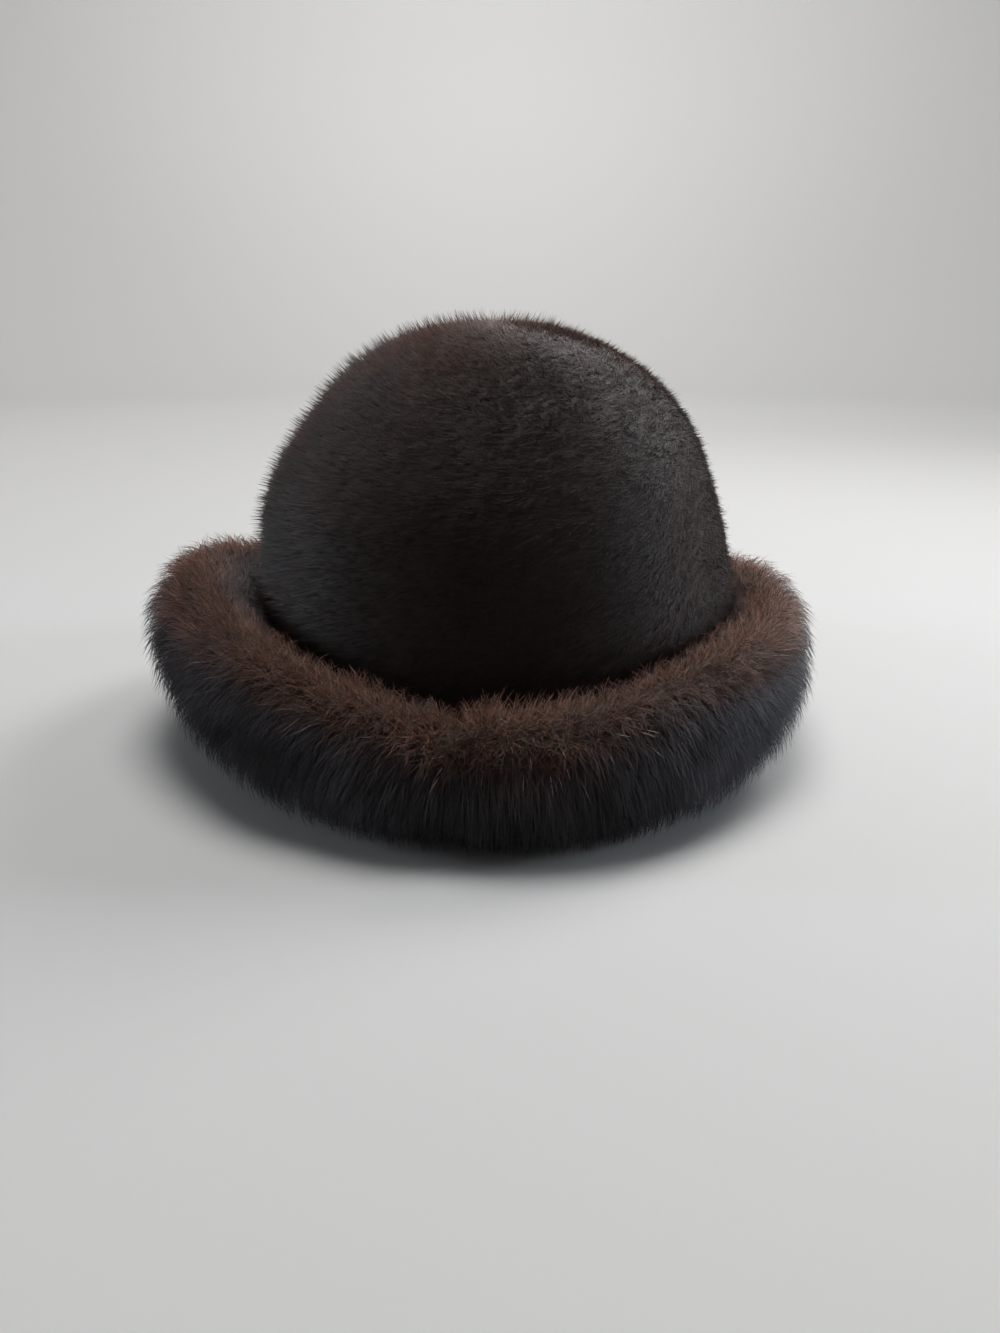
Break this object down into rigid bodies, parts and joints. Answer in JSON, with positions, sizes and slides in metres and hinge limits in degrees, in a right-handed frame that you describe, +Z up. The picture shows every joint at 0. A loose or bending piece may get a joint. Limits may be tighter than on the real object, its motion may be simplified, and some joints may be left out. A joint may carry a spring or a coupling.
{
  "type": "round-crowned fur hat with a rolled brim",
  "caption": "Fur hat with a round domed crown of short dark nap and a thick upturned brim of longer brown fur, rolled all the way round, hollow and open below.",
  "frame": {"origin": "on the floor that the brim rests on, under the middle of the hat's bounding box", "axes": "+Z up through the crown, +Y along the hat's length, away from the side with the join in the brim's fur, +X across it, to the right of someone who looks at that side"},
  "size_m": [0.272, 0.3053, 0.159],
  "materials": {
    "crown_fur": "short dense fur lying flat, near black with a soft sheen",
    "brim_fur": "longer dense fur, red-brown on the ridge and near black outside"
  },
  "bodies": {
    "root": {"crown": "crown_fur", "brim": "brim_fur"}
  },
  "joints": []
}
